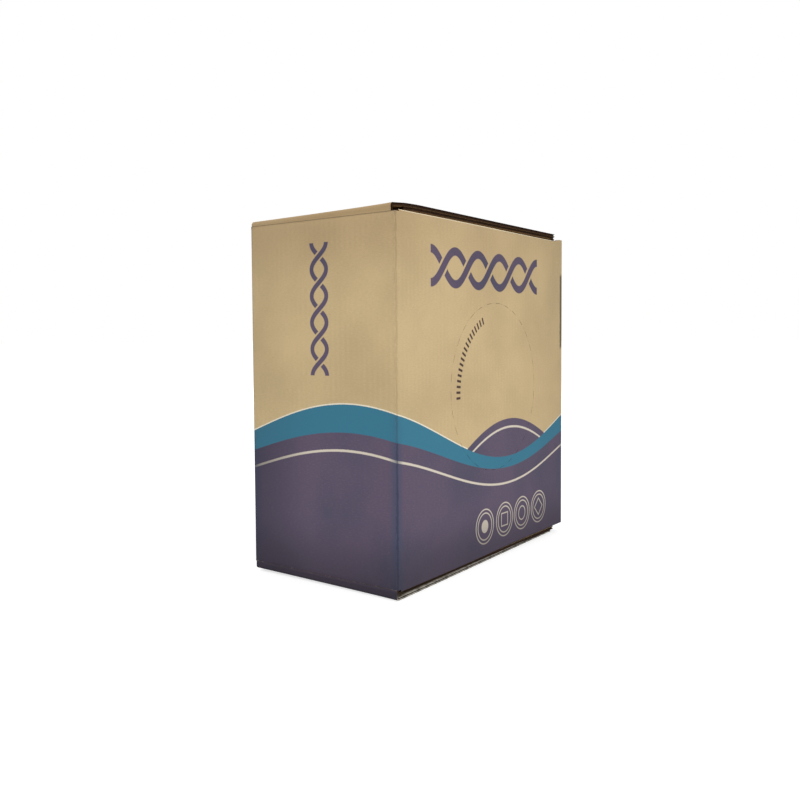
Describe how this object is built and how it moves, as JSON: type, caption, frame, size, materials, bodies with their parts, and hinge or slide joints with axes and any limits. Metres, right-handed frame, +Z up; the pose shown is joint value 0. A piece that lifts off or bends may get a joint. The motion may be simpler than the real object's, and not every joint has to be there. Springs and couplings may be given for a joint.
{
  "type": "cable spool box",
  "caption": "Corrugated carton holding a wound coil of network cable, with hinged end flaps, a round front knock-out and a hand slot.",
  "frame": {"origin": "on the ground under the middle of the carton", "axes": "+Z up, the large front panel with the knock-out faces -Y, the narrow left panel faces -X"},
  "size_m": [0.352, 0.186, 0.3698],
  "materials": {
    "kraft_board": "matt kraft with printed bands",
    "cable_jacket": "satin soft plastic",
    "tie_band": "satin"
  },
  "bodies": {
    "carton": {"front_panel": "kraft_board", "left_panel": "kraft_board", "back_panel": "kraft_board", "right_panel": "kraft_board", "glue_tab": "kraft_board", "top_right_flap": "kraft_board", "top_front_dust_flap": "kraft_board", "top_back_dust_flap": "kraft_board", "bottom_right_flap": "kraft_board", "bottom_front_dust_flap": "kraft_board", "bottom_back_dust_flap": "kraft_board", "cable_coil": "cable_jacket", "cable_inner_layer": "cable_jacket", "coil_tie_1": "tie_band", "coil_tie_2": "tie_band", "coil_tie_3": "tie_band", "coil_tie_4": "tie_band"},
    "top_lid": {"top_left_flap": "kraft_board"},
    "bottom_lid": {"bottom_left_flap": "kraft_board"},
    "knockout": {"knockout_disc": "kraft_board"}
  },
  "joints": [
    {"name": "top_flap_hinge", "type": "hinge", "parent": "carton", "child": "top_lid", "pos_m": [-0.176, 0, 0.3599], "axis": [0, -1, 0], "range_deg": [0, 170]},
    {"name": "bottom_flap_hinge", "type": "hinge", "parent": "carton", "child": "bottom_lid", "pos_m": [-0.176, 0, 0.0099], "axis": [0, 1, 0], "range_deg": [0, 170]},
    {"name": "knockout_pull", "type": "slide", "parent": "carton", "child": "knockout", "axis": [0, -1, 0], "range_m": [0, 0.12]}
  ]
}
